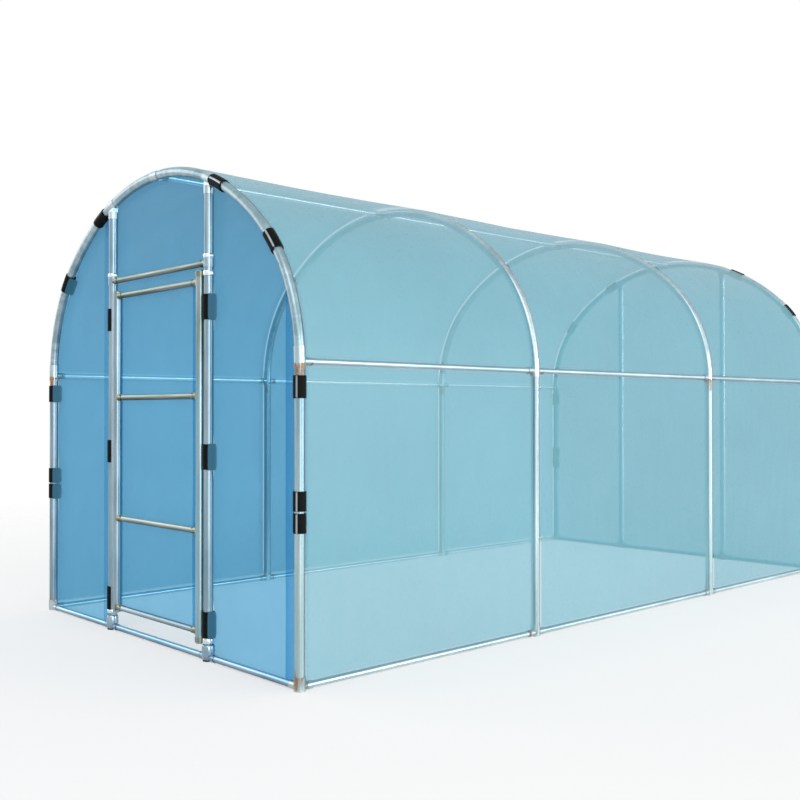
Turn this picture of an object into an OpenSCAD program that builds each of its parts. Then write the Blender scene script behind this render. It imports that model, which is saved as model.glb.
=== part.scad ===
// Walk-in polytunnel greenhouse: bent tube hoops on posts, base tubes, purlins,
// snap-on film clips, a sheet film cover and a hinged tube door in the front end.
// Origin at the middle of the footprint on the ground, front end towards -Y, +Z up.

/* [Tunnel] */
// Width between the centre lines of the two rows of posts
tunnel_width = 2000; // [1800:10:2600]
// Height of the posts, where the hoops begin to bend
spring_height = 1155; // [900:5:1600]
// Rise of the hoops above the posts, along the tube centre
hoop_rise = 822; // [740:1:900]
// Radius of the tighter bend at each side of a hoop
side_bend_radius = 700; // [500:5:720]
// Length of the front bay, between hoop centres
front_bay = 1285; // [900:5:1800]
// Length of the middle bay, between hoop centres
middle_bay = 1440; // [900:5:1800]
// Length of the back bay, between hoop centres
back_bay = 1230; // [900:5:1800]

/* [Tubes] */
// Outside diameter of the hoops, posts and uprights
main_tube = 38; // [32:0.5:42]
// Outside diameter of the door stiles
stile_tube = 36; // [30:0.5:38]
// Outside diameter of the purlins, base tubes, header and door rails
light_tube = 25; // [18:0.5:28]

/* [Fittings] */
// Wall of every sleeve, socket and foot
fitting_wall = 2; // [1.5:0.1:2.5]
// Gap between a tube and the sleeve or socket that holds it
fit_gap = 0.3; // [0.2:0.05:0.4]
// Depth of a socket that takes a light tube
socket_depth = 30; // [20:1:45]
// Height of the sleeves at the foot of the posts
foot_height = 50; // [40:1:80]
// Thickness of the floor inside each foot
foot_floor = 2; // [1.5:0.1:4]
// Height of the centre of the base tubes above the ground
base_tube_height = 15; // [15:0.5:20]
// Length of the post sleeves below the start of the bend
sleeve_below = 26; // [16:1:40]
// Length of the post sleeves above the start of the bend
sleeve_above = 53; // [30:1:90]
// Length of the sleeves on the hoops at the ridge and over the uprights
hoop_sleeve_length = 50; // [44:1:70]
// Height of the sleeves of the header tees
header_tee_height = 36; // [32:1:50]
// Length of upright that the socket of each hoop saddle holds
saddle_depth = 30; // [20:1:50]
// Distance from the end of the upright to the lowest side of the hoop above it
saddle_gap = 6; // [5:0.5:12]
// Width along the tunnel of the lug between the socket and the sleeve of a saddle
saddle_lug = 24; // [12:1:30]
// Length of the collars where the bends of a hoop join its crown
collar_length = 40; // [20:1:60]
// Wall of those collars
collar_wall = 0.8; // [0.5:0.1:1.2]
// Height of the barrel feet of the uprights
barrel_height = 55; // [45:1:60]
// Swelling of the barrel feet at mid height
barrel_bulge = 3; // [1:0.5:4]

/* [Door] */
// Distance between the centre lines of the two uprights
doorway_width = 795; // [700:5:900]
// Distance of the doorway from the middle of the end, to the right seen from outside
doorway_shift = 13; // [0:1:40]
// Height of the centre of the top rail of the door
top_rail_height = 1492; // [1450:1:1600]
// Height of the centre of the middle rail of the door
middle_rail_height = 1040; // [900:5:1100]
// Height of the centre of the lower rail of the door
lower_rail_height = 505; // [400:5:650]
// Height of the centre of the bottom rail of the door
bottom_rail_height = 110; // [105:1:140]
// Distance across the end between the hinge stile and its upright, centre to centre
stile_spacing = 46; // [43:0.5:50]
// Distance across the end between the free stile and its upright, centre to centre
free_spacing = 61; // [45:1:80]
// Distance that the door stands in front of the uprights, centre to centre
door_forward = 10; // [4:0.5:14]
// Height of the ring of each hinge clamp
hinge_ring_height = 20; // [14:1:22]
// Width of the web between the two rings of a hinge clamp
hinge_web = 12; // [8:1:20]
// Height of that web
hinge_web_height = 14; // [8:1:14]
// Gap along the hinge stile between a hinge clamp and the fitting of the nearest rail
hinge_rail_gap = 6; // [5:0.5:8]
// Gap between the upper hinge clamp and the header tee above it
header_gap = 14; // [5:1:60]
// Length of the stile that stands out of each hinge ring
stile_stub = 2; // [1:0.5:3]
// Length of the free stile beyond the fittings of its outer rails
free_stile_stub = 4; // [2:0.5:10]
// Height of the caps on the stile ends
cap_height = 4; // [2:0.5:5]
// Width of the sloping rim of those caps
cap_rim = 3; // [1:0.5:8]
// Height of the saddle plates that hold the rails to the stiles
rail_saddle_height = 30; // [29:1:34]
// Half angle of the saddle plates round the stiles
rail_saddle_angle = 58; // [40:1:60]

/* [Clips] */
// Wall of the clips, over the film and the tube
clip_wall = 5; // [3:0.5:5]
// Half angle of the opening of the clips on the uprights
clip_mouth = 40; // [30:1:60]
// Half angle of the slit of the clips on the hoops and posts
clip_slit = 10; // [5:0.5:20]
// Turn of that slit from straight outwards towards the end of the tunnel
clip_slit_turn = 67; // [30:1:75]
// Length of the clips on the uprights
upright_clip_length = 100; // [60:5:120]
// Length of the clips on the hoops
hoop_clip_length = 88; // [60:2:100]
// Length of the single clip near the top of each end post
post_clip_length = 80; // [60:5:100]
// Length of each of the paired clips on the end posts
pair_clip_length = 70; // [50:5:80]
// Gap between the paired clips
pair_clip_gap = 7; // [3:1:15]
// Gap between the single clip on an end post and the sleeve above it
post_clip_gap = 24; // [5:1:80]
// Height of the middle of the paired clips on the end posts
pair_clip_height = 625; // [400:5:750]
// Gap between the bottom clip on an upright and the hinge ring below it
bottom_clip_gap = 4; // [2:1:40]
// Height of the middle of the centre clip on the uprights
middle_upright_clip = 800; // [600:5:950]
// Gap between the top clip on an upright and the hinge ring above it
top_clip_gap = 73; // [5:1:150]
// Gap along the hoop between the clips on the side bends and the collars
side_clip_gap = 15; // [1:1:60]
// Gap along the hoop between the left saddle, seen from outside, and the next clip
left_saddle_clip_gap = 40; // [1:1:90]
// Gap along the hoop between the right saddle, seen from outside, and the next clip
right_saddle_clip_gap = 1; // [1:1:90]

/* [Film] */
// Thickness of the film cover
film_thickness = 1; // [0.5:0.1:1.5]
// Height of the lower edge of the film above the ground
film_bottom = 8; // [4:1:20]
// Gap between neighbouring film panels
film_joint = 0.5; // [0.3:0.1:0.8]

/* [Hidden] */
$fn = 48;

// Tubes and the fittings round them
main_r = main_tube / 2;
stile_r = stile_tube / 2;
light_r = light_tube / 2;
main_bore = main_r + fit_gap;
stile_bore = stile_r + fit_gap;
light_bore = light_r + fit_gap;
sleeve_r = main_bore + fitting_wall;
stile_sleeve_r = stile_bore + fitting_wall;
socket_r = light_bore + fitting_wall;
socket_reach = sleeve_r + socket_depth;
light_start = sleeve_r + fit_gap;

// Places along and across the tunnel
half_width = tunnel_width / 2;
tunnel_length = front_bay + middle_bay + back_bay;
front_y = -tunnel_length / 2;
back_y = tunnel_length / 2;
hoop_y = [front_y, front_y + front_bay, back_y - back_bay, back_y];
last_hoop = len(hoop_y) - 1;

// The hoop is a three-centred arch: a side bend, a wider crown and a side bend
crown_radius = (pow(half_width, 2) + pow(hoop_rise, 2) - 2 * half_width * side_bend_radius)
    / (2 * (hoop_rise - side_bend_radius));
side_centre_x = half_width - side_bend_radius;
crown_centre_z = spring_height + hoop_rise - crown_radius;
join_angle = atan2(spring_height - crown_centre_z, side_centre_x);
ridge_z = spring_height + hoop_rise;

// Door and doorway, seen from outside the front end
left_upright_x = doorway_shift - doorway_width / 2;
right_upright_x = doorway_shift + doorway_width / 2;
hinge_x = right_upright_x - stile_spacing;
free_x = left_upright_x + free_spacing;
door_y = front_y - door_forward;
rail_heights = [bottom_rail_height, lower_rail_height, middle_rail_height, top_rail_height];
half_saddle = rail_saddle_height / 2;
lower_ring_z = bottom_rail_height - half_saddle - hinge_rail_gap - hinge_ring_height;
upper_ring_z = top_rail_height + half_saddle + hinge_rail_gap;
header_z = upper_ring_z + hinge_ring_height + header_gap + header_tee_height / 2;
hinge_stile_bottom = lower_ring_z - stile_stub;
hinge_stile_top = upper_ring_z + hinge_ring_height + stile_stub;
free_stile_bottom = bottom_rail_height - half_saddle - free_stile_stub;
free_stile_top = top_rail_height + half_saddle + free_stile_stub;
hinge_distance = norm([stile_spacing, door_forward]);

// Film planes and clips
clip_r = main_bore + clip_wall;
clip_room = clip_r + fit_gap;
film_inside = sleeve_r + fit_gap;
film_outside = film_inside + film_thickness;
door_film_inside = stile_bore;
pair_offset = (pair_clip_length + pair_clip_gap) / 2;
post_clip_height = spring_height - sleeve_below - post_clip_gap - post_clip_length / 2;
post_clips = [
    [post_clip_height, post_clip_length],
    [pair_clip_height + pair_offset, pair_clip_length],
    [pair_clip_height - pair_offset, pair_clip_length]
];
upright_clips = [
    lower_ring_z + hinge_ring_height + bottom_clip_gap + upright_clip_length / 2,
    middle_upright_clip,
    upper_ring_z - top_clip_gap - upright_clip_length / 2
];
stile_bearing = atan2(door_forward, stile_spacing);
upright_clip_mouths = [[left_upright_x, -stile_bearing], [right_upright_x, 180 + stile_bearing]];
side_clip_angle = join_angle
    - arc_angle(collar_length / 2 + side_clip_gap + hoop_clip_length / 2, side_bend_radius);
right_crown_clip = crown_clip_angle(right_upright_x, right_saddle_clip_gap);
left_crown_clip = crown_clip_angle(-left_upright_x, left_saddle_clip_gap);
// Each hoop clip: centre of its arc across the tunnel, height, radius and angle
hoop_clips = [
    [side_centre_x, spring_height, side_bend_radius, side_clip_angle],
    [-side_centre_x, spring_height, side_bend_radius, 180 - side_clip_angle],
    [0, crown_centre_z, crown_radius, 90 - right_crown_clip],
    [0, crown_centre_z, crown_radius, 90 + left_crown_clip]
];

// Overlap used only so that cuts pass cleanly through a surface
cut = 1;

grey_steel = [0.62, 0.69, 0.73];
dark_steel = [0.50, 0.47, 0.42];
clip_black = [0.05, 0.08, 0.10];
film_blue = [0.56, 0.76, 0.82, 0.5];

// Angle that a given length takes up on an arc
function arc_angle(length, radius) = length / radius * 180 / PI;

// Height of an arc about the centre of the crown at a distance from the middle
function arc_height(radius, x) = crown_centre_z + sqrt(pow(radius, 2) - pow(x, 2));

// Height of the square end of an upright, below the lowest side of the hoop
function upright_top(x) = arc_height(crown_radius - main_bore, abs(x) + main_bore) - saddle_gap;

// Angle from the ridge to the middle of a clip that stands a gap away from a saddle at x,
// whose socket slants across the way of the clip
function crown_clip_angle(x, gap) =
    let (slope = asin(x / crown_radius), socket_side = sleeve_r / cos(slope) + clip_r * tan(slope))
    slope + arc_angle(socket_side + gap + hoop_clip_length / 2, crown_radius);

// Places the children at the front end, or turned half round at the back end
module at_end(back = false) {
    rotate([0, 0, back ? 180 : 0])
        children();
}

// Leaves the children as they are, or mirrors them to face the other way across
module facing_x(direction) {
    mirror([direction < 0 ? 1 : 0, 0, 0])
        children();
}

// A round bar between two heights
module upright_bar(radius, low, high) {
    translate([0, 0, low])
        cylinder(h = high - low, r = radius);
}

// A round bar along Y between two places
module bar_y(radius, from, to) {
    translate([0, to, 0])
        rotate([90, 0, 0])
            cylinder(h = to - from, r = radius);
}

// A round bar along X between two places
module bar_x(radius, from, to) {
    translate([from, 0, 0])
        rotate([0, 90, 0])
            cylinder(h = to - from, r = radius);
}

// Sweeps a flat shape along an arc that stands across the tunnel
module sweep(radius, from, to) {
    rotate([90, 0, 0])
        rotate([0, 0, from])
            rotate_extrude(angle = to - from, $fn = 128)
                translate([radius, 0])
                    children();
}

module sweep_side(side, from, to) {
    translate([side * side_centre_x, 0, spring_height])
        sweep(side_bend_radius, side > 0 ? from : 180 - to, side > 0 ? to : 180 - from)
            children();
}

module sweep_crown(from, to) {
    translate([0, 0, crown_centre_z])
        sweep(crown_radius, from, to)
            children();
}

// ---- Hoops, posts and long tubes ----

// Three bent tubes that meet inside a collar at each end of the crown
module hoop(y) {
    half = arc_angle(collar_length / 2, crown_radius);
    side_end = join_angle - arc_angle(fit_gap, side_bend_radius);
    crown_end = join_angle + arc_angle(fit_gap, crown_radius);
    color(grey_steel)
        translate([0, y, 0]) {
            sweep_side(1, 0, side_end)
                circle(r = main_r);
            sweep_side(-1, 0, side_end)
                circle(r = main_r);
            sweep_crown(crown_end, 180 - crown_end)
                circle(r = main_r);
            for (middle = [join_angle, 180 - join_angle])
                sweep_crown(middle - half, middle + half)
                    circle(r = main_r + collar_wall);
        }
}

module posts(side) {
    color(grey_steel)
        for (y = hoop_y)
            translate([side * half_width, y, 0])
                upright_bar(main_r, foot_floor, spring_height);
}

// Light tubes that fill the bays between the fittings on neighbouring hoops
module bay_tubes(x, z) {
    color(grey_steel)
        for (i = [1 : last_hoop])
            translate([x, 0, z])
                bar_y(light_r, hoop_y[i - 1] + light_start, hoop_y[i] - light_start);
}

// The base tube of an end, in three lengths between the posts and the uprights
module end_base_tubes(back) {
    stations = [-half_width, left_upright_x, right_upright_x, half_width];
    color(grey_steel)
        at_end(back)
            for (i = [1 : len(stations) - 1])
                translate([0, front_y, base_tube_height])
                    bar_x(light_r, stations[i - 1] + light_start, stations[i] - light_start);
}

// Uprights, which end square in the sockets of the hoop saddles
module uprights(back) {
    color(grey_steel)
        at_end(back)
            for (x = [left_upright_x, right_upright_x])
                translate([x, front_y, 0])
                    upright_bar(main_r, foot_floor, upright_top(x));
}

module header() {
    color(dark_steel)
        translate([0, front_y, header_z])
            bar_x(light_r, left_upright_x + light_start, right_upright_x - light_start);
}

// ---- Fittings ----

// Sockets for light tubes that leave a sleeve along Y or X
module sockets_y(front, back) {
    if (front)
        bar_y(socket_r, -socket_reach, 0);
    if (back)
        bar_y(socket_r, 0, socket_reach);
}

module socket_bores_y(front, back) {
    if (front)
        bar_y(light_bore, -socket_reach - cut, -sleeve_r);
    if (back)
        bar_y(light_bore, sleeve_r, socket_reach + cut);
}

// Sleeve over the joint of a right-hand post and its hoop, with sockets for the purlins
module side_connector(front, back) {
    bend = arc_angle(sleeve_above, side_bend_radius);
    spare = arc_angle(cut, side_bend_radius);
    difference() {
        union() {
            translate([half_width, 0, 0]) {
                upright_bar(sleeve_r, spring_height - sleeve_below, spring_height);
                translate([0, 0, spring_height])
                    sockets_y(front, back);
            }
            sweep_side(1, 0, bend)
                circle(r = sleeve_r);
        }
        translate([half_width, 0, 0]) {
            upright_bar(main_bore, spring_height - sleeve_below - cut, spring_height);
            translate([0, 0, spring_height])
                socket_bores_y(front, back);
        }
        sweep_side(1, 0, bend + spare)
            circle(r = main_bore);
    }
}

module side_connectors(side) {
    color(grey_steel)
        facing_x(side)
            for (i = [0 : last_hoop])
                translate([0, hoop_y[i], 0])
                    side_connector(i > 0, i < last_hoop);
}

// Sleeve round the top of a hoop, with sockets for the ridge purlin
module ridge_connector(front, back) {
    half = arc_angle(hoop_sleeve_length / 2, crown_radius);
    spare = arc_angle(cut, crown_radius);
    difference() {
        union() {
            sweep_crown(90 - half, 90 + half)
                circle(r = sleeve_r);
            translate([0, 0, ridge_z])
                sockets_y(front, back);
        }
        sweep_crown(90 - half - spare, 90 + half + spare)
            circle(r = main_bore);
        translate([0, 0, ridge_z])
            socket_bores_y(front, back);
    }
}

module ridge_connectors() {
    color(grey_steel)
        for (i = [0 : last_hoop])
            translate([0, hoop_y[i], 0])
                ridge_connector(i > 0, i < last_hoop);
}

// Foot of a post: a closed sleeve with sockets for the base tubes that meet there
module post_foot(side, front, back) {
    corner = !(front && back);
    difference() {
        union() {
            upright_bar(sleeve_r, 0, foot_height);
            translate([0, 0, base_tube_height]) {
                sockets_y(front, back);
                if (corner)
                    bar_x(socket_r, side > 0 ? -socket_reach : 0, side > 0 ? 0 : socket_reach);
            }
        }
        upright_bar(main_bore, foot_floor, foot_height + cut);
        translate([0, 0, base_tube_height]) {
            socket_bores_y(front, back);
            if (corner)
                bar_x(light_bore,
                    side > 0 ? -socket_reach - cut : sleeve_r,
                    side > 0 ? -sleeve_r : socket_reach + cut);
        }
    }
}

module post_feet(side) {
    color(dark_steel)
        for (i = [0 : last_hoop])
            translate([side * half_width, hoop_y[i], 0])
                post_foot(side, i > 0, i < last_hoop);
}

// Barrel foot of an upright, swollen at mid height, on the line of the base tubes
module barrel_foot() {
    half = barrel_height / 2;
    swell_r = (pow(half, 2) + pow(barrel_bulge, 2)) / (2 * barrel_bulge);
    difference() {
        union() {
            rotate_extrude()
                intersection() {
                    translate([sleeve_r + barrel_bulge - swell_r, half])
                        circle(r = swell_r, $fn = 256);
                    square([sleeve_r + barrel_bulge, barrel_height]);
                }
            translate([0, 0, base_tube_height])
                bar_x(socket_r, -socket_reach, socket_reach);
        }
        upright_bar(main_bore, foot_floor, barrel_height + cut);
        translate([0, 0, base_tube_height]) {
            bar_x(light_bore, -socket_reach - cut, -sleeve_r);
            bar_x(light_bore, sleeve_r, socket_reach + cut);
        }
    }
}

module upright_feet() {
    color(grey_steel)
        for (back = [false, true], x = [left_upright_x, right_upright_x])
            at_end(back)
                translate([x, front_y, 0])
                    barrel_foot();
}

// Saddle round a hoop, with a blind socket on a lug below it for the top of an upright
module hoop_saddle(x) {
    middle = 90 - asin(x / crown_radius);
    half = arc_angle(hoop_sleeve_length / 2, crown_radius);
    // The bore also clears the corners of the lug, which reach past the sleeve
    bore_half = arc_angle(hoop_sleeve_length, crown_radius);
    top = upright_top(x);
    difference() {
        union() {
            sweep_crown(middle - half, middle + half)
                circle(r = sleeve_r);
            translate([x, 0, 0])
                upright_bar(sleeve_r, top - saddle_depth, top + fitting_wall);
            translate([x - main_bore, -saddle_lug / 2, top])
                cube([2 * main_bore, saddle_lug, arc_height(crown_radius, x) - top]);
        }
        sweep_crown(middle - bore_half, middle + bore_half)
            circle(r = main_bore);
        translate([x, 0, 0])
            upright_bar(main_bore, top - saddle_depth - cut, top);
    }
}

module hoop_saddles() {
    color(grey_steel)
        for (back = [false, true], x = [left_upright_x, right_upright_x])
            at_end(back)
                translate([0, front_y, 0])
                    hoop_saddle(x);
}

// Tee that holds an end of the header on an upright; inward is +1 or -1 along X
module header_tee(inward) {
    difference() {
        union() {
            upright_bar(sleeve_r, -header_tee_height / 2, header_tee_height / 2);
            facing_x(inward)
                bar_x(socket_r, 0, socket_reach);
        }
        upright_bar(main_bore, -header_tee_height / 2 - cut, header_tee_height / 2 + cut);
        facing_x(inward)
            bar_x(light_bore, sleeve_r, socket_reach + cut);
    }
}

module header_tees() {
    color(dark_steel)
        for (side = [-1, 1])
            translate([side < 0 ? left_upright_x : right_upright_x, front_y, header_z])
                header_tee(-side);
}

// Figure-eight clamp: one ring grips the upright, the hinge stile turns in the other
module hinge_clamp(z) {
    color(dark_steel)
        translate([hinge_x, door_y, z])
            difference() {
                union() {
                    cylinder(h = hinge_ring_height, r = stile_sleeve_r);
                    translate([stile_spacing, door_forward, 0])
                        cylinder(h = hinge_ring_height, r = sleeve_r);
                    rotate([0, 0, stile_bearing])
                        translate([hinge_distance / 2, 0, hinge_ring_height / 2])
                            cube([hinge_distance, hinge_web, hinge_web_height], center = true);
                }
                translate([0, 0, -cut])
                    cylinder(h = hinge_ring_height + 2 * cut, r = stile_bore);
                translate([stile_spacing, door_forward, -cut])
                    cylinder(h = hinge_ring_height + 2 * cut, r = main_bore);
            }
}

// ---- Door ----

module stile(x, low, high) {
    color(grey_steel)
        translate([x, door_y, 0])
            upright_bar(stile_r, low, high);
}

// Rails, with their ends cut to the round of the stiles
module rails() {
    color(dark_steel)
        for (z = rail_heights)
            translate([0, door_y, z])
                difference() {
                    bar_x(light_r, free_x, hinge_x);
                    for (x = [free_x, hinge_x])
                        translate([x, 0, 0])
                            upright_bar(stile_bore, -socket_r, socket_r);
                }
}

// Saddle plate against a stile, with a socket for the end of a rail
module rail_saddle() {
    reach = stile_sleeve_r + socket_depth;
    difference() {
        union() {
            translate([0, 0, -half_saddle])
                rotate([0, 0, -rail_saddle_angle])
                    rotate_extrude(angle = 2 * rail_saddle_angle)
                        translate([stile_bore, 0])
                            square([fitting_wall, rail_saddle_height]);
            difference() {
                bar_x(socket_r, 0, reach);
                upright_bar(stile_bore, -socket_r - cut, socket_r + cut);
            }
        }
        bar_x(light_bore, 0, reach + cut);
    }
}

module rail_saddles() {
    color(dark_steel)
        for (z = rail_heights) {
            translate([free_x, door_y, z])
                rail_saddle();
            translate([hinge_x, door_y, z])
                mirror([1, 0, 0])
                    rail_saddle();
        }
}

// Cap that closes a stile end, with a sloping rim
module stile_cap() {
    cylinder(h = cap_height, r1 = stile_r, r2 = stile_r - cap_rim);
}

module stile_caps() {
    ends = [
        [hinge_x, hinge_stile_bottom, hinge_stile_top],
        [free_x, free_stile_bottom, free_stile_top]
    ];
    color(grey_steel)
        for (end = ends)
            translate([end[0], door_y, 0]) {
                translate([0, 0, end[2]])
                    stile_cap();
                translate([0, 0, end[1]])
                    mirror([0, 0, 1])
                        stile_cap();
            }
}

module door_sheet() {
    color(film_blue)
        translate([free_x, door_y + door_film_inside, bottom_rail_height - light_r])
            cube([hinge_x - free_x, film_thickness,
                top_rail_height - bottom_rail_height + light_tube]);
}

// ---- Film cover ----

// Room left in the film for the clips of one end, which grip it there
module clip_rooms() {
    for (clip = hoop_clips)
        translate([clip[0], front_y, clip[1]])
            clip_room_arc(clip[2], clip[3]);
    for (side = [-1, 1], clip = post_clips)
        translate([side * half_width, front_y, clip[0]])
            cube([2 * clip_room, 2 * clip_room, clip[1] + 2 * fit_gap], center = true);
}

// Room left in the front film for the clips on the uprights
module upright_clip_rooms() {
    for (x = [left_upright_x, right_upright_x], z = upright_clips)
        translate([x, front_y, z])
            cube([2 * clip_room, 2 * clip_room, upright_clip_length + 2 * fit_gap], center = true);
}

// Room left in the film for the barrel feet, which swell past its plane
module foot_rooms() {
    room = 2 * (sleeve_r + barrel_bulge + fit_gap);
    for (x = [left_upright_x, right_upright_x])
        translate([x, front_y, 0])
            cube([room, room, 2 * (barrel_height + fit_gap)], center = true);
}

// Room left in the film for the sockets of the purlins and base tubes, which pass through it
module socket_rooms() {
    stations = [
        [-half_width, base_tube_height], [half_width, base_tube_height],
        [-half_width, spring_height], [half_width, spring_height], [0, ridge_z]
    ];
    for (station = stations)
        translate([station[0], front_y, station[1]])
            bar_y(socket_r + fit_gap, 0, socket_reach);
}

module clip_room_arc(radius, middle) {
    half = arc_angle(hoop_clip_length / 2 + fit_gap, radius);
    sweep(radius, middle - half, middle + half)
        square(2 * clip_room, center = true);
}

module all_clip_rooms() {
    clip_rooms();
    at_end(true)
        clip_rooms();
}

module wall_film(side) {
    color(film_blue)
        difference() {
            translate([side > 0 ? half_width + film_inside : -half_width - film_outside,
                front_y, film_bottom])
                cube([film_thickness, tunnel_length, spring_height - film_bottom]);
            all_clip_rooms();
        }
}

// A length of the roof film over one arc of the hoops
module roof_film(x, z, radius, from, to) {
    trim = arc_angle(film_joint, radius);
    color(film_blue)
        difference() {
            translate([x, back_y, z])
                sweep_sheet(radius, from + trim, to - trim);
            all_clip_rooms();
        }
}

module sweep_sheet(radius, from, to) {
    outer = radius + film_outside;
    rotate([90, 0, 0])
        linear_extrude(tunnel_length)
            difference() {
                intersection() {
                    circle(r = outer, $fn = 256);
                    sector(outer * 2, from, to);
                }
                circle(r = radius + film_inside, $fn = 256);
            }
}

// A wedge between two directions, at most a half turn apart
module sector(reach, from, to) {
    middle = (from + to) / 2;
    polygon([
        [0, 0],
        reach * [cos(from), sin(from)],
        reach * [cos(middle), sin(middle)],
        reach * [cos(to), sin(to)]
    ]);
}

// The outline just inside the cover, across the tunnel
module end_outline() {
    reach = film_inside - film_joint;
    intersection() {
        translate([0, crown_centre_z])
            circle(r = crown_radius + reach, $fn = 256);
        translate([0, crown_centre_z])
            sector(crown_radius * 2, join_angle, 180 - join_angle);
    }
    for (side = [-1, 1])
        translate([side * side_centre_x, spring_height])
            circle(r = side_bend_radius + reach, $fn = 256);
    translate([-half_width - reach, film_bottom])
        square([tunnel_width + 2 * reach, spring_height - film_bottom]);
}

// An end panel of film behind its hoop, between two places across the tunnel
module end_panel(from, to, bottom, at_door = true) {
    color(film_blue)
        difference() {
            translate([0, front_y + film_outside, 0])
                rotate([90, 0, 0])
                    linear_extrude(film_thickness)
                        intersection() {
                            end_outline();
                            translate([from, bottom])
                                square([to - from, 2 * ridge_z]);
                        }
            clip_rooms();
            if (at_door)
                upright_clip_rooms();
            foot_rooms();
            socket_rooms();
        }
}

// ---- Clips ----

// Cross-section of a clip, open towards one direction
module clip_section(direction, half_opening) {
    difference() {
        circle(r = clip_r);
        circle(r = main_bore);
        sector(2 * clip_r, direction - half_opening, direction + half_opening);
    }
}

module straight_clip(length, direction, half_opening) {
    translate([0, 0, -length / 2])
        linear_extrude(length)
            clip_section(direction, half_opening);
}

// Clips on an end hoop and its two posts, slit on their outer corner
module hoop_clip_set(back) {
    color(clip_black)
        at_end(back) {
            for (side = [-1, 1], clip = post_clips)
                translate([side * half_width, front_y, clip[0]])
                    straight_clip(clip[1], side < 0 ? 180 + clip_slit_turn : -clip_slit_turn, clip_slit);
            for (clip = hoop_clips) {
                half = arc_angle(hoop_clip_length / 2, clip[2]);
                translate([clip[0], front_y, clip[1]])
                    sweep(clip[2], clip[3] - half, clip[3] + half)
                        clip_section(clip_slit_turn, clip_slit);
            }
        }
}

// Clips on the two uprights of the doorway, open towards the door's stiles
module upright_clip_set() {
    color(clip_black)
        for (upright = upright_clip_mouths, z = upright_clips)
            translate([upright[0], front_y, z])
                straight_clip(upright_clip_length, upright[1], clip_mouth);
}

hoop(hoop_y[0]);  // front_hoop
hoop(hoop_y[1]);  // front_middle_hoop
hoop(hoop_y[2]);  // back_middle_hoop
hoop(hoop_y[3]);  // back_hoop
posts(-1);  // left_posts
posts(1);  // right_posts
bay_tubes(0, ridge_z);  // ridge_purlin
bay_tubes(-half_width, spring_height);  // left_purlin
bay_tubes(half_width, spring_height);  // right_purlin
end_base_tubes(false);  // front_base_tube
end_base_tubes(true);  // back_base_tube
bay_tubes(-half_width, base_tube_height);  // left_base_tube
bay_tubes(half_width, base_tube_height);  // right_base_tube
uprights(false);  // front_uprights
uprights(true);  // back_uprights
header();  // door_header
side_connectors(-1);  // left_side_connectors
side_connectors(1);  // right_side_connectors
ridge_connectors();
post_feet(-1);  // left_post_feet
post_feet(1);  // right_post_feet
upright_feet();
hoop_saddles();
header_tees();
hinge_clamp(upper_ring_z);  // upper_hinge_clamp
hinge_clamp(lower_ring_z);  // lower_hinge_clamp
stile(hinge_x, hinge_stile_bottom, hinge_stile_top);  // door_hinge_stile
stile(free_x, free_stile_bottom, free_stile_top);  // door_free_stile
rails();  // door_rails
rail_saddles();  // door_rail_saddles
stile_caps();  // door_stile_caps
door_sheet();  // door_film
wall_film(-1);  // left_wall_film
wall_film(1);  // right_wall_film
roof_film(-side_centre_x, spring_height, side_bend_radius, 180 - join_angle, 180);  // left_roof_film
roof_film(side_centre_x, spring_height, side_bend_radius, 0, join_angle);  // right_roof_film
roof_film(0, crown_centre_z, crown_radius, join_angle, 180 - join_angle);  // crown_film
end_panel(-tunnel_width, left_upright_x - film_joint, film_bottom);  // front_left_film
end_panel(right_upright_x + film_joint, tunnel_width, film_bottom);  // front_right_film
end_panel(left_upright_x, right_upright_x, top_rail_height);  // front_top_film
at_end(true)  // back_film
        end_panel(-tunnel_width, tunnel_width, film_bottom, at_door = false);
hoop_clip_set(false);  // front_hoop_clips
upright_clip_set();  // front_upright_clips
hoop_clip_set(true);  // back_hoop_clips
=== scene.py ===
"""Looks of the walk-in polytunnel greenhouse: film, small fittings, materials, stage, lamps and camera."""
import math

import bmesh
import bpy
from mathutils import Matrix, Vector, noise


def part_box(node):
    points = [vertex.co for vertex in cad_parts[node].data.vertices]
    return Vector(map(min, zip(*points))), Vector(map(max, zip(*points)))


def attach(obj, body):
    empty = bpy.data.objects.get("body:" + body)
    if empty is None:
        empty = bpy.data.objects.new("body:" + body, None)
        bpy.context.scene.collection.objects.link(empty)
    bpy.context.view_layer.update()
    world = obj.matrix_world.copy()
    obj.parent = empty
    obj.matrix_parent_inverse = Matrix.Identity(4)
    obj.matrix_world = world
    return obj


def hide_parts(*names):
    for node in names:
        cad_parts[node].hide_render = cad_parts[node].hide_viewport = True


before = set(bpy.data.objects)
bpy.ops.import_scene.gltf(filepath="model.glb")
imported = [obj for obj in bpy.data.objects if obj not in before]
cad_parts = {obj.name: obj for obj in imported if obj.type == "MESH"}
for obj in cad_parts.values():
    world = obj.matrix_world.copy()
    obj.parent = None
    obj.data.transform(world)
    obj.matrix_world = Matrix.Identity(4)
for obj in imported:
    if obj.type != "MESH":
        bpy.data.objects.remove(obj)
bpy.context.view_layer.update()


# ---- Places from the frame ----

def middle(node):
    lo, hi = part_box(node)
    return (lo + hi) / 2


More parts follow.
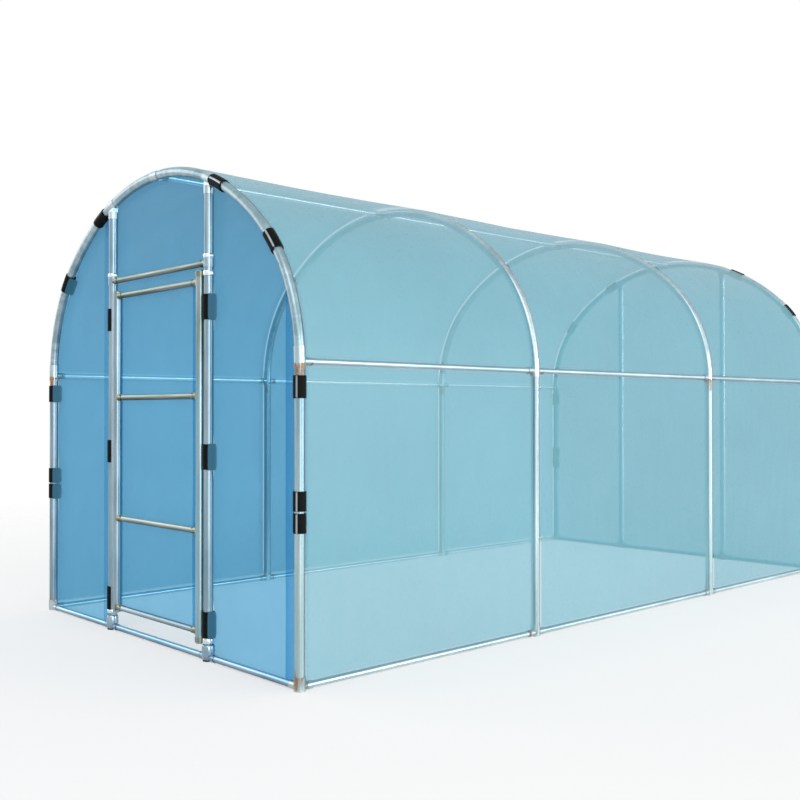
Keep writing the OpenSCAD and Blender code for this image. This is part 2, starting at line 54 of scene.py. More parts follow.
HOOPS = ["front_hoop", "front_middle_hoop", "back_middle_hoop", "back_hoop"]
HOOP_Y = [middle(n).y for n in HOOPS]
FRONT_Y, BACK_Y = HOOP_Y[0], HOOP_Y[-1]
HALF_WIDTH = middle("right_posts").x
SPRING_Z = middle("right_purlin").z
RIDGE_Z = middle("ridge_purlin").z
MAIN_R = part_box("right_posts")[1].x - HALF_WIDTH
FILM_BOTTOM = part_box("left_wall_film")[0].z
LEFT_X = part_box("front_uprights")[0].x + MAIN_R
RIGHT_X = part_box("front_uprights")[1].x - MAIN_R
HEADER_Z = middle("door_header").z
FREE_X = middle("door_free_stile").x
HINGE_X = middle("door_hinge_stile").x
DOOR_Y = middle("door_hinge_stile").y
DOOR_LO, DOOR_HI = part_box("door_film")
SIDE_RADIUS = 0.700    # of the hoop's bends above the posts
RISE = RIDGE_Z - SPRING_Z
CROWN_RADIUS = (HALF_WIDTH ** 2 + RISE ** 2 - 2 * HALF_WIDTH * SIDE_RADIUS) / (2 * (RISE - SIDE_RADIUS))
SIDE_X = HALF_WIDTH - SIDE_RADIUS
CROWN_Z = RIDGE_Z - CROWN_RADIUS
JOIN = math.atan2(SPRING_Z - CROWN_Z, SIDE_X)

FILM_OFF = 0.0221      # middle of the film plates, off the tube axes
CLIP_R = 0.0243        # outside radius of the clips
SAG = 0.0065           # of the cover between two hoops


def smooth(t):
    t = max(0.0, min(1.0, t))
    return t * t * (3 - 2 * t)


WALL = SPRING_Z - FILM_BOTTOM              # lengths of the parts of the arch
BEND = SIDE_RADIUS * JOIN
CROWN = CROWN_RADIUS * (math.pi - 2 * JOIN)
ARCH_LENGTH = 2 * WALL + 2 * BEND + CROWN


def on_circle(x, z, radius, a):
    """Point and outward normal at an angle."""
    return (x + radius * math.cos(a), z + radius * math.sin(a)), (math.cos(a), math.sin(a))


def arch(s):
    """Centre line of a hoop and its posts at a length s from the left foot: point and outward normal."""
    if s < WALL:
        return (-HALF_WIDTH, FILM_BOTTOM + s), (-1.0, 0.0)
    s -= WALL
    if s < BEND:
        return on_circle(-SIDE_X, SPRING_Z, SIDE_RADIUS, math.pi - s / SIDE_RADIUS)
    s -= BEND
    if s < CROWN:
        return on_circle(0.0, CROWN_Z, CROWN_RADIUS, math.pi - JOIN - s / CROWN_RADIUS)
    s -= CROWN
    if s < BEND:
        return on_circle(SIDE_X, SPRING_Z, SIDE_RADIUS, JOIN - s / SIDE_RADIUS)
    return (HALF_WIDTH, max(FILM_BOTTOM, SPRING_Z - (s - BEND))), (1.0, 0.0)


def arch_height(x, outside=0.0):
    """Height, at a distance across, of the line a little outside the hoop's centre line."""
    x = abs(x)
    side, crown = SIDE_RADIUS + outside, CROWN_RADIUS + outside
    if x > crown * math.cos(JOIN):
        return SPRING_Z + math.sqrt(max(0.0, side ** 2 - (x - SIDE_X) ** 2))
    return CROWN_Z + math.sqrt(crown ** 2 - x * x)


def islands(node):
    """Boxes of the separate solids of a CAD node."""
    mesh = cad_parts[node].data
    key = [tuple(round(c * 20000) for c in v.co) for v in mesh.vertices]
    up = {}

    def root(k):
        while up.setdefault(k, k) != k:
            up[k] = up[up[k]]
            k = up[k]
        return k

    for p in mesh.polygons:
        first = root(key[p.vertices[0]])
        for i in p.vertices:
            up[root(key[i])] = first
    groups = {}
    for v, k in zip(mesh.vertices, key):
        groups.setdefault(root(k), []).append(v.co)
    out = []
    for k in sorted(groups):
        pts = groups[k]
        out.append([Vector(end(p[i] for p in pts) for i in range(3)) for end in (min, max)])
    return out


def clip_middles(*nodes):
    return [(lo + hi) / 2 for n in nodes for lo, hi in islands(n)]


GRIPS = {
    "front": clip_middles("front_hoop_clips", "front_upright_clips"),
    "back": clip_middles("back_hoop_clips"),
}
GRIP_HALF, GRIP_SOFT = 0.056, 0.05     # how far a clip holds the film beside it, and the way to free film


def gripped(side, x, z):
    """1 at a clip, 0 away from all of them."""
    return max(1 - smooth((math.hypot(x - c.x, z - c.z) - GRIP_HALF) / GRIP_SOFT) for c in GRIPS[side])


# ---- Mesh helpers ----

def new_object(name, bm, material=None, flat=False):
    mesh = bpy.data.meshes.new(name)
    bm.to_mesh(mesh)
    bm.free()
    obj = bpy.data.objects.new(name, mesh)
    bpy.context.scene.collection.objects.link(obj)
    if not flat:
        for p in mesh.polygons:
            p.use_smooth = True
    if material:
        mesh.materials.append(material)
    return obj


def join_rows(bm, rows):
    """Faces between neighbouring rows of vertices."""
    for a, b in zip(rows, rows[1:]):
        for i in range(len(a) - 1):
            bm.faces.new((a[i], a[i + 1], b[i + 1], b[i]))


def set_touch(obj, values=None):
    """How closely each point of a sheet lies on a tube, for its material; nowhere without values."""
    layer = obj.data.attributes.new("touch", "FLOAT", "POINT")
    layer.data.foreach_set("value", values or [0.0] * len(obj.data.vertices))


def grid_object(name, rows, material, touch=()):
    """A single-surface sheet from rows of points, with rows of touch."""
    bm = bmesh.new()
    join_rows(bm, [[bm.verts.new(p) for p in row] for row in rows])
    obj = new_object(name, bm, material)
    set_touch(obj, [t for row in touch for t in row])
    return obj


# ---- Materials ----

def nodes_of(name):
    m = bpy.data.materials.new(name)
    m.use_nodes = True
    nt = m.node_tree
    return m, nt, nt.nodes["Principled BSDF"]


def add(nt, kind, **inputs):
    n = nt.nodes.new(kind)
    for k, v in inputs.items():
        n.inputs[k.replace("_", " ")].default_value = v
    return n


def place(nt, stretch=(1, 1, 1)):
    tc = nt.nodes.new("ShaderNodeTexCoord")
    mp = nt.nodes.new("ShaderNodeMapping")
    mp.inputs["Scale"].default_value = stretch
    nt.links.new(tc.outputs["Object"], mp.inputs["Vector"])
    return mp.outputs["Vector"]


def noise_at(nt, vec, scale, detail=3.0, rough=0.55):
    n = add(nt, "ShaderNodeTexNoise", Scale=scale, Detail=detail, Roughness=rough)
    nt.links.new(vec, n.inputs["Vector"])
    return n.outputs["Fac"]


def ramp(nt, fac, stops):
    r = nt.nodes.new("ShaderNodeValToRGB")
    e = r.color_ramp.elements
    while len(e) < len(stops):
        e.new(0.5)
    for el, (pos, col) in zip(e, stops):
        el.position = pos
        el.color = (*col, 1.0) if len(col) == 3 else col
    nt.links.new(fac, r.inputs["Fac"])
    return r.outputs["Color"]


def grey(v):
    return (v, v, v)


def fade(nt, fac, lo, hi):
    return ramp(nt, fac, [(lo, grey(0.0)), (hi, grey(1.0))])


def mix(nt, fac, a, b):
    m = nt.nodes.new("ShaderNodeMix")
    m.data_type = "RGBA"
    for socket, value in ((m.inputs[0], fac), (m.inputs[6], a), (m.inputs[7], b)):
        if isinstance(value, bpy.types.NodeSocket):
            nt.links.new(value, socket)
        elif isinstance(value, tuple):
            socket.default_value = (*value, 1.0)
        else:
            socket.default_value = value
    return m.outputs[2]


def mix_shader(nt, fac, a, b):
    m = nt.nodes.new("ShaderNodeMixShader")
    for socket, value in zip(m.inputs, (fac, a, b)):
        nt.links.new(value, socket)
    return m.outputs[0]


def math_node(nt, op, a, b=None):
    m = nt.nodes.new("ShaderNodeMath")
    m.operation = op
    for socket, value in zip(m.inputs, (a, b)):
        if value is None:
            continue
        if isinstance(value, bpy.types.NodeSocket):
            nt.links.new(value, socket)
        else:
            socket.default_value = value
    return m.outputs[0]


def map_range(nt, value, lo, hi, to_lo=0.0, to_hi=1.0, easing="SMOOTHSTEP"):
    m = nt.nodes.new("ShaderNodeMapRange")
    m.interpolation_type = easing
    nt.links.new(value, m.inputs["Value"])
    for k, v in zip(("From Min", "From Max", "To Min", "To Max"), (lo, hi, to_lo, to_hi)):
        m.inputs[k].default_value = v
    return m.outputs["Result"]


def bump(nt, height, strength, distance, shader):
    b = nt.nodes.new("ShaderNodeBump")
    b.inputs["Strength"].default_value = strength
    b.inputs["Distance"].default_value = distance
    nt.links.new(height, b.inputs["Height"])
    nt.links.new(b.outputs["Normal"], shader.inputs["Normal"])


def band(nt, coordinate, centre, half, soft):
    """1 within a distance of a place along an axis, 0 beyond."""
    d = math_node(nt, "ABSOLUTE", math_node(nt, "SUBTRACT", coordinate, centre))
    return map_range(nt, d, half, half + soft, 1.0, 0.0)


def split_xyz(nt, vec):
    xyz = nt.nodes.new("ShaderNodeSeparateXYZ")
    nt.links.new(vec, xyz.inputs[0])
    return xyz.outputs["X"], xyz.outputs["Y"], xyz.outputs["Z"]


def largest(nt, values):
    top = values[0]
    for v in values[1:]:
        top = math_node(nt, "MAXIMUM", top, v)
    return top


RUST_TONES = [(0.25, (0.09, 0.036, 0.012)), (0.5, (0.28, 0.12, 0.03)), (0.75, (0.52, 0.28, 0.09))]


def steel(name, light, dark, stretch, metallic=1.0, roughness=0.33, inside=None, painted_underside_shade=None, dust_and_top_highlight=None,
          collars=None, low=None, rust=()):
    """Galvanised tube with drawn streaks, spangle and scuffs. inside is its tone between the tunnel's ends.
    On rails, a pale tone on top is partly dust and partly a painted highlight, and a dark tone on the
    underside is painted shade. collars is the tone round the uprights, and low a tone near the ground with
    the heights where it starts and is full. Each band of rust has a height, half its width, a soft edge
    and a strength."""
    m, nt, sh = nodes_of(name)
    vec = place(nt)
    x, y, z = split_xyz(nt, vec)
    streaks = noise_at(nt, place(nt, stretch), 34.0, 3.0)
    cloud = noise_at(nt, vec, 4.0, 2.0)
    spangle = noise_at(nt, vec, 190.0, 2.0)
    scuffs = noise_at(nt, place(nt, stretch), 120.0, 5.0, 0.7)
    base = mix(nt, map_range(nt, cloud, 0.3, 0.7), dark, light)
    if inside:
        length = (BACK_Y - FRONT_Y) / 2
        base = mix(nt, band(nt, y, (FRONT_Y + BACK_Y) / 2, length - 0.10, 0.06), base, inside)
    if collars:
        round_upright = largest(nt, [band(nt, x, at, MAIN_R + 0.0045, 0.001) for at in (LEFT_X, RIGHT_X)])
        base = mix(nt, round_upright, base, collars)
    # Pale tone on upward faces: partly dust, partly a painted highlight
    if painted_underside_shade:
        tc = nt.nodes.new("ShaderNodeTexCoord")
        up = split_xyz(nt, tc.outputs["Normal"])[2]
        dust_and_highlight_level = math_node(nt, "ADD", up, math_node(nt, "MULTIPLY", streaks, 0.3))
        base = mix(nt, map_range(nt, dust_and_highlight_level, 0.45, 1.0), base, dust_and_top_highlight)
    if low:
        tone, top, bottom = low
        base = mix(nt, map_range(nt, z, top, bottom), base, tone)
    # Dark tone on downward faces: painted shade
    if painted_underside_shade:
        base = mix(nt, map_range(nt, up, -0.05, -0.5), base, painted_underside_shade)
    base = mix(nt, map_range(nt, streaks, 0.40, 0.66, 0.0, 0.16), base, (1.0, 1.0, 1.0))
    base = mix(nt, map_range(nt, spangle, 0.56, 0.74, 0.0, 0.20), base, tuple(c * 0.5 for c in dark))
    base = mix(nt, map_range(nt, scuffs, 0.64, 0.72, 0.0, 0.35), base, tuple(c * 0.4 for c in dark))
    rough = map_range(nt, streaks, 0.3, 0.7, roughness - 0.04, roughness + 0.06, "LINEAR")
    nt.links.new(rough, sh.inputs["Roughness"])
    sh.inputs["Metallic"].default_value = metallic
    if rust:
        grain = noise_at(nt, vec, 110.0, 4.0, 0.65)
        patch = noise_at(nt, place(nt, (1, 1, 0.14)), 60.0, 2.0, 0.5)
        where = largest(nt, [math_node(nt, "MULTIPLY", band(nt, z, at, half, soft), much)
                             for at, half, soft, much in rust])
        level = math_node(nt, "ADD", patch, math_node(nt, "MULTIPLY", grain, 0.22))
        mask = map_range(nt, math_node(nt, "ADD", level, where), 1.0, 1.16)
        base = mix(nt, math_node(nt, "MULTIPLY", mask, 0.9), base, ramp(nt, grain, RUST_TONES))
        nt.links.new(map_range(nt, mask, 0.0, 1.0, metallic, 0.15, "LINEAR"), sh.inputs["Metallic"])
    nt.links.new(base, sh.inputs["Base Color"])
    bump(nt, streaks, 0.12, 0.0004, sh)
    return m


def plastic_clip():
    """Black moulded plastic, worn a little."""
    m, nt, sh = nodes_of("clip_plastic")
    vec = place(nt)
    fine = noise_at(nt, vec, 420.0, 2.0)
    wear = noise_at(nt, vec, 38.0, 4.0, 0.65)
    base = mix(nt, fade(nt, wear, 0.35, 0.75), (0.002, 0.004, 0.005), (0.009, 0.009, 0.006))
    nt.links.new(base, sh.inputs["Base Color"])
    nt.links.new(map_range(nt, wear, 0.3, 0.7, 0.42, 0.58, "LINEAR"), sh.inputs["Roughness"])
    sh.inputs["Specular IOR Level"].default_value = 0.05
    bump(nt, fine, 0.3, 0.0004, sh)
    return m


LIGHT_THROUGH = (0.76, 0.86, 0.89)     # what a sheet of film lets through from the lamps


def film(name, tint, haze_colour, haze, touch_tint, touch_haze):
    """Thin polythene: tinted, a little milky, clearer where it lies on a tube, with faint creases."""
    m, nt, sh = nodes_of(name)
    vec = place(nt)
    cloud = noise_at(nt, vec, 1.3, 3.0)
    crease = noise_at(nt, place(nt, (1.0, 2.6, 0.8)), 6.0, 4.0, 0.55)
    fine = noise_at(nt, vec, 70.0, 3.0)
    at = nt.nodes.new("ShaderNodeAttribute")
    at.attribute_name = "touch"
    touch = at.outputs["Fac"]
    milky = mix(nt, fade(nt, cloud, 0.3, 0.7), tuple(c * 0.9 for c in haze_colour), haze_colour)
    nt.links.new(milky, sh.inputs["Base Color"])
    nt.links.new(map_range(nt, fine, 0.3, 0.7, 0.25, 0.38, "LINEAR"), sh.inputs["Roughness"])
    sh.inputs["IOR"].default_value = 1.45
    sh.inputs["Specular IOR Level"].default_value = 0.16
    bump(nt, crease, 0.12, 0.003, sh)
    clear = nt.nodes.new("ShaderNodeBsdfTransparent")
    thin = mix(nt, fade(nt, crease, 0.3, 0.7), tint, tuple(c * 0.96 for c in tint))
    nt.links.new(mix(nt, touch, thin, touch_tint), clear.inputs["Color"])
    amount = math_node(nt, "ADD", map_range(nt, touch, 0.0, 1.0, haze, touch_haze, "LINEAR"),
                       map_range(nt, crease, 0.3, 0.7, -0.02, 0.02, "LINEAR"))
    sheet = mix_shader(nt, amount, clear.outputs[0], sh.outputs[0])
    # The milky film scatters most of the light on into the tunnel, so lamps reach through it
    passed = nt.nodes.new("ShaderNodeBsdfTransparent")
    passed.inputs["Color"].default_value = (*LIGHT_THROUGH, 1.0)
    path = nt.nodes.new("ShaderNodeLightPath")
    lit = mix_shader(nt, path.outputs["Is Shadow Ray"], sheet, passed.outputs[0])
    nt.links.new(lit, nt.nodes["Material Output"].inputs["Surface"])
    return m


UP, ALONG_X, ALONG_Y = (1, 1, 0.05), (0.05, 1, 1), (1, 0.05, 1)
ROUND_HOOP, SHORT = (1, 0.3, 1), (1, 1, 0.3)
PALE = (0.23, 0.34, 0.40)
UNDER_FILM = (0.27, 0.34, 0.37)
POST_RUST = ((SPRING_Z - 0.048, 0.016, 0.022, 0.46), (0.085, 0.03, 0.05, 0.32))

# The lighter tone low on these posts is a painted highlight
POST = steel("post_steel", (0.27, 0.39, 0.44), (0.19, 0.29, 0.34), UP, inside=UNDER_FILM,
             low=((0.37, 0.465, 0.475), 0.86, 0.42), rust=POST_RUST)
# A darker copy of the posts' steel: painted shade on the far side
SHADED_LEFT_POST = steel("shaded_left_post_steel", (0.17, 0.27, 0.33), (0.12, 0.20, 0.26), UP, inside=UNDER_FILM,
                  rust=POST_RUST)
TUBE = steel("tube_steel", PALE, (0.16, 0.25, 0.30), UP)
# A near-white copy of the uprights' steel: a painted highlight on the back uprights
LIT_BACK_TUBE = steel("lit_back_tube_steel", (0.90, 0.94, 0.95), (0.80, 0.86, 0.88), UP)
STILE = steel("stile_steel", (0.21, 0.28, 0.28), (0.13, 0.19, 0.18), UP,
              low=((0.19, 0.335, 0.385), 1.30, 1.00))
HOOP = steel("hoop_steel", (0.30, 0.40, 0.44), (0.20, 0.29, 0.33), ROUND_HOOP)
# Lighter than the front hoop's steel: a painted highlight on the hoops inside the cover
LIT_INNER_HOOP = steel("lit_inner_hoop_steel", (0.47, 0.55, 0.57), (0.32, 0.40, 0.43), ROUND_HOOP,
                   rust=((SPRING_Z + 0.057, 0.002, 0.008, 0.25),))
LIGHT = steel("light_tube_steel", (0.56, 0.66, 0.69), (0.44, 0.54, 0.57), ALONG_Y)
# A near-white copy of the purlin steel: a painted highlight on the ridge and left purlins
LIT_PURLIN_TUBE = steel("lit_purlin_tube_steel", (0.92, 0.95, 0.95), (0.82, 0.87, 0.88), ALONG_Y)
# Its dark underside is painted shade; its pale top is partly dust and partly a painted highlight
BASE = steel("base_tube_steel", (0.20, 0.38, 0.50), (0.12, 0.27, 0.38), ALONG_X,
             painted_underside_shade=(0.03, 0.07, 0.11), dust_and_top_highlight=(0.34, 0.55, 0.68))
FITTING = steel("fitting_steel", (0.46, 0.55, 0.58), (0.34, 0.43, 0.46), SHORT, inside=(0.40, 0.48, 0.50),
                rust=((SPRING_Z - 0.024, 0.014, 0.014, 0.51), (0.030, 0.022, 0.020, 0.40)))
FOOT = steel("upright_foot_steel", (0.16, 0.29, 0.38), (0.09, 0.19, 0.27), (1, 1, 0.4), roughness=0.28,
             collars=(0.23, 0.30, 0.36))
BEAD = steel("bead_steel", (0.78, 0.85, 0.90), (0.56, 0.64, 0.70), (1, 1, 0.4), roughness=0.24,
             low=((0.27, 0.37, 0.45), 0.072, 0.064))
STRIP = steel("strip_steel", (0.32, 0.40, 0.44), (0.24, 0.32, 0.36), UP)
# The bluish tone low down is a painted highlight on the bottom rail; the dark underside is painted shade, and
# the pale top is partly dust and partly a painted highlight
OLIVE = steel("rail_steel", (0.21, 0.265, 0.225), (0.14, 0.19, 0.16), ALONG_X, metallic=0.9,
              low=((0.22, 0.32, 0.37), 0.42, 0.30), painted_underside_shade=(0.03, 0.05, 0.045), dust_and_top_highlight=(0.36, 0.45, 0.42))
# Its dark underside is painted shade; its pale top is partly dust and partly a painted highlight
OLIVE_FITTING = steel("rail_fitting_steel", (0.21, 0.245, 0.18), (0.13, 0.16, 0.11), SHORT, metallic=0.85,
                      painted_underside_shade=(0.03, 0.035, 0.025), dust_and_top_highlight=(0.36, 0.42, 0.34), collars=PALE)
SCREW = steel("screw_zinc", (0.16, 0.16, 0.15), (0.05, 0.05, 0.05), (1, 1, 1), metallic=0.9, roughness=0.4)
CLIP = plastic_clip()
FILM = film("cover_film", (0.73, 0.795, 0.88), (0.182, 0.440, 0.507), 0.60, (0.96, 0.985, 0.99), 0.06)
END_FILM = film("end_film", (0.345, 0.68, 0.91), (0.105, 0.39, 0.58), 0.20, (0.90, 0.96, 0.98), 0.05)
TAB_FILM = film("tab_film", (0.10, 0.25, 0.35), (0.046, 0.175, 0.265), 0.70, (0.10, 0.25, 0.35), 0.70)

NODE_MATERIALS = {
    HOOP: ["front_hoop"],
    LIT_INNER_HOOP: HOOPS[1:],
    POST: ["right_posts"],
    SHADED_LEFT_POST: ["left_posts"],
    TUBE: ["front_uprights", "door_free_stile"],
    LIT_BACK_TUBE: ["back_uprights"],
    STILE: ["door_hinge_stile", "door_stile_caps"],
    LIGHT: ["right_purlin", "left_base_tube", "right_base_tube"],
    LIT_PURLIN_TUBE: ["ridge_purlin", "left_purlin"],
    BASE: ["front_base_tube", "back_base_tube"],
    FITTING: ["left_side_connectors", "right_side_connectors", "ridge_connectors", "left_post_feet",
              "right_post_feet", "hoop_saddles"],
    FOOT: ["upright_feet"],
    OLIVE: ["door_header", "door_rails"],
    OLIVE_FITTING: ["header_tees", "upper_hinge_clamp", "lower_hinge_clamp", "door_rail_saddles"],
    CLIP: ["front_hoop_clips", "front_upright_clips", "back_hoop_clips"],
}
for material, names in NODE_MATERIALS.items():
    for n in names:
        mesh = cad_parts[n].data
        mesh.materials.clear()
        mesh.materials.append(material)


# ---- The cover: one sheet over the hoops, wrapped round the end hoops ----

# Half widths of the lines where the cover lies on a tube, and their soft edges
PURLIN_LINE, PURLIN_SOFT = {"left": 0.003, "right": 0.011}, 0.008
HOOP_LINE, HOOP_SOFT = {"left": 0.010, "right": 0.022}, 0.010
BASE_LINE, BASE_SOFT = 0.028, 0.016
HOOP_SHIFT = {"left": 0.0, "right": 0.013}     # of the hoops' lines, towards the door's end
LEAST_ACROSS = 0.55    # the shift grows no further where the normal points less across than this
ON_WALL = 0.9          # the normal points at least this much across on the walls
SAG_CURVE = 1.3        # eases the sag beside the hoops
COVER_CREASE, END_CREASE, DOOR_CREASE = 0.0022, 0.0014, 0.003      # how high the creases stand


def creases(x, y, z, size):
    """A soft unevenness, the same at each run."""
    return size * noise.noise(Vector((x * 2.1, y * 3.4, z * 2.1 + 7.0)))


def cover_sheet():
    turns, bay_steps, arch_steps = 6, 26, 300
    beside_hoop = (0.006, 0.012, 0.018, 0.026, 0.034, 0.042, 0.052)
    quarter = math.pi / 2
    stations = set()
    for y0, y1 in zip(HOOP_Y, HOOP_Y[1:]):
        stations.update(round(y0 + (y1 - y0) * i / bay_steps, 5) for i in range(bay_steps + 1))
        for d in beside_hoop:
            stations.update((round(y0 + d, 5), round(y1 - d, 5)))
    columns = [("front", quarter * i / turns) for i in range(turns, 0, -1)]
    columns += [("body", y) for y in sorted(stations)]
    columns += [("back", quarter * i / turns) for i in range(1, turns + 1)]
    rows, touch = [], []
    for i in range(arch_steps + 1):
        (cx, cz), (nx, nz) = arch(ARCH_LENGTH * i / arch_steps)
        side = "right" if nx > 0 else "left"
        purlin = 1 - smooth((abs(cz - SPRING_Z) - PURLIN_LINE[side]) / PURLIN_SOFT)
        base = 1 - smooth((cz - BASE_LINE) / BASE_SOFT)
        on_wall = max(base, purlin) if abs(nx) > ON_WALL else 0.0
        shift = HOOP_SHIFT[side] / max(LEAST_ACROSS, nx)
        row, near = [], []
        for kind, v in columns:
            if kind == "body":
                j = max(k for k in range(3) if HOOP_Y[k] <= v + 1e-6)
                t = (v - HOOP_Y[j]) / (HOOP_Y[j + 1] - HOOP_Y[j])
                free = math.sin(math.pi * max(0.0, min(1.0, t)))
                off = FILM_OFF - SAG * free ** SAG_CURVE + creases(cx, v, cz, COVER_CREASE) * free
                row.append((cx + nx * off, v, cz + nz * off))
                reach = min(abs(v + shift - y) for y in HOOP_Y)
                near.append(max(on_wall, 1 - smooth((reach - HOOP_LINE[side]) / HOOP_SOFT)))
            else:
                y0, out = (FRONT_Y, -1) if kind == "front" else (BACK_Y, 1)
                row.append((cx + nx * FILM_OFF * math.cos(v), y0 + out * FILM_OFF * math.sin(v),
                            cz + nz * FILM_OFF * math.cos(v)))
                near.append(1.0)
        rows.append(row)
        touch.append(near)
    return grid_object("film_cover", rows, FILM, touch)


cover = cover_sheet()
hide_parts("left_wall_film", "right_wall_film", "left_roof_film", "right_roof_film", "crown_film")
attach(cover, "tunnel")


# ---- End panels, behind the hoops and uprights, with a hem turned back at some edges ----

EDGE = 0.0205          # the panels reach this far outside the hoop's centre line
LIMIT = HALF_WIDTH + EDGE
FOLD = 0.0012          # a hem lies this far behind its panel, and turns over within FOLD_TURN
FOLD_TURN = 0.004
LEFT_HEM, RIGHT_HEM = 0.13, 0.135
CROWDING = 1.6         # of the rows, towards the hoop
TOP_CALM, LOW_CALM = 0.15, 0.1     # the creases die away over these widths along the upper and lower edges
OFF_CLIP = 0.0009      # between a clip and the film behind it
RIM_SOFT = 0.008       # width over which the film at the hoop gets clearer


def outside(x, z):
    """Distance of a point of an end outside the hoop's centre line, less than 0 inside it."""
    x = abs(x)
    if z < SPRING_Z:
        return x - HALF_WIDTH
    a = math.atan2(z - CROWN_Z, x)
    if a > JOIN:
        return math.hypot(x, z - CROWN_Z) - CROWN_RADIUS
    return math.hypot(x - SIDE_X, z - SPRING_Z) - SIDE_RADIUS


def panel(name, side, from_x, to_x, low, across, up, material, hems=(0.0, 0.0), clear_hem=0.0):
    """One panel of an end between two places across, from low up to the hoop, in steps across and up. hems
    are the widths of its turned edges, and clear_hem is how closely they lie against it."""
    inward = 1 if side == "front" else -1
    y0 = FRONT_Y if side == "front" else BACK_Y

    def spread(t):
        """Columns crowd together at the posts, where the outline is steep."""
        a = [math.acos(max(-1, min(1, -v / LIMIT))) for v in (from_x, to_x)]
        return -LIMIT * math.cos(a[0] + (a[1] - a[0]) * t)

    columns = []
    if hems[0]:
        columns += [(from_x + hems[0], FOLD), (from_x + FOLD_TURN, FOLD - 0.0001), (from_x, FOLD / 2)]
    columns += [(spread(i / across), 0.0) for i in range(1 if hems[0] else 0, across + (0 if hems[1] else 1))]
    if hems[1]:
        columns += [(to_x, FOLD / 2), (to_x - FOLD_TURN, FOLD - 0.0001), (to_x - hems[1], FOLD)]
    rows, touch = [], []
    for x, back in columns:
        top = arch_height(x, EDGE)
        row, near = [], []
        for j in range(up + 1):
            z = low + (top - low) * (1 - (1 - j / up) ** CROWDING)
            free = min(1.0, max(0.0, (top - z) / TOP_CALM)) * min(1.0, max(0.0, (z - low) / LOW_CALM))
            off = FILM_OFF + back + creases(x, 3.0 * inward, z, END_CREASE) * free
            off += (CLIP_R + OFF_CLIP + back - off) * gripped(side, x, z)
            row.append((x, y0 + inward * off, z))
            at_hoop = smooth((outside(x, z) + RIM_SOFT / 2) / RIM_SOFT)
            near.append(max(at_hoop, clear_hem if back > 0 else 0.0))
        rows.append(row)
        touch.append(near)
    obj = grid_object("film_" + name, rows, material, touch)
    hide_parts(name + "_film")
    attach(obj, "tunnel")


TOP_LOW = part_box("front_top_film")[0].z
panel("front_left", "front", -LIMIT, LEFT_X, FILM_BOTTOM, 48, 130, END_FILM, (0.0, LEFT_HEM), 0.5)
panel("front_right", "front", RIGHT_X, LIMIT, FILM_BOTTOM, 48, 130, END_FILM, (0.0, RIGHT_HEM))
panel("front_top", "front", LEFT_X, RIGHT_X, TOP_LOW, 60, 34, END_FILM)
panel("back", "back", -LIMIT, LIMIT, FILM_BOTTOM, 120, 130, FILM)


# ---- Dark teal film patches over the inner side of each clip of the front, and down to the panel beside it ----

TAB_RISE = 0.0010      # the tabs lie this far outside the clips
TAB_STEPS = 14         # along a clip
TAB_START, TAB_CORNER = 50, 13     # turn in degrees at which a patch starts, and what its corners add
CORNER_CUT = 0.16      # share of the straight part that is cut off at the corners
# Turn at which a patch leaves its clip, and how far behind the tube's axis it then ends
ALL_ROUND, OFF_UPRIGHT, OFF_HOOP = (174, 0.0), (70, 0.016), (60, 0.0205)


def clip_tabs(name, frames):
    """Curved patches on the clips; each frame holds points along the tube's axis with their inward direction,
    the turn at which the patch leaves the clip, and how far behind the axis it ends."""
    bm = bmesh.new()
    radius = CLIP_R + TAB_RISE
    turns, straights = 9, 8
    for points, leave, end_y in frames:
        grid = []
        for k, (p, inward) in enumerate(points):
            corner = max(0.0, 1 - min(k, len(points) - 1 - k) / 2.0)      # the corners are cut off
            start = TAB_START + TAB_CORNER * corner * (0.4 if end_y else 1)
            profile = [(radius * math.sin(math.radians(a)), -radius * math.cos(math.radians(a)))
                       for a in (start + (leave - start) * i / turns for i in range(turns + 1))]
            if end_y:
                a = math.radians(leave)
                length = (end_y + radius * math.cos(a)) / math.sin(a) * (1 - CORNER_CUT * corner)
                x0, y0 = profile[-1]
                for i in range(1, straights + 1):
                    profile.append((x0 + math.cos(a) * length * i / straights,
                                    y0 + math.sin(a) * length * i / straights))
            grid.append([bm.verts.new(p + inward * u + Vector((0, v, 0))) for u, v in profile])
        join_rows(bm, grid)
    obj = new_object(name, bm, TAB_FILM)
    set_touch(obj)
    return obj


def along_hoop(lo, hi, steps):
    """Points along the middle of a clip of the hoop or its posts, with the outward direction at each."""
    c = (lo + hi) / 2
    places = [i / 2000 * ARCH_LENGTH for i in range(2001)]
    best = min(places, key=lambda s: math.hypot(arch(s)[0][0] - c.x, arch(s)[0][1] - c.z))
    on_post = hi.x - lo.x < 2.2 * CLIP_R
    half = (hi.z - lo.z) / 2 + 0.002 if on_post else 0.046
    return [arch(best + half * (2 * k / steps - 1)) for k in range(steps + 1)]


def tab_frames():
    frames = []
    for lo, hi in islands("front_upright_clips"):
        left = lo.x < 0
        x, inward = (LEFT_X, Vector((-1, 0, 0))) if left else (RIGHT_X, Vector((1, 0, 0)))
        line = [(Vector((x, FRONT_Y, lo.z - 0.002 + (hi.z - lo.z + 0.004) * k / TAB_STEPS)), inward)
                for k in range(TAB_STEPS + 1)]
        frames.append((line, *(ALL_ROUND if left else OFF_UPRIGHT)))
    for lo, hi in islands("front_hoop_clips"):
        on_left_shoulder = hi.x < -0.3 and lo.z > 1.6
        if on_left_shoulder:
            continue       # the film lies flat there
        line = [(Vector((x, FRONT_Y, z)), Vector((-nx, 0, -nz)))
                for (x, z), (nx, nz) in along_hoop(lo, hi, TAB_STEPS)]
        frames.append((line, *(OFF_HOOP if hi.x < 0 else ALL_ROUND)))
    return frames


tabs = clip_tabs("film_tabs", tab_frames())
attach(tabs, "tunnel")


# ---- Pale strips in the slits of the clips on the hoops and posts ----

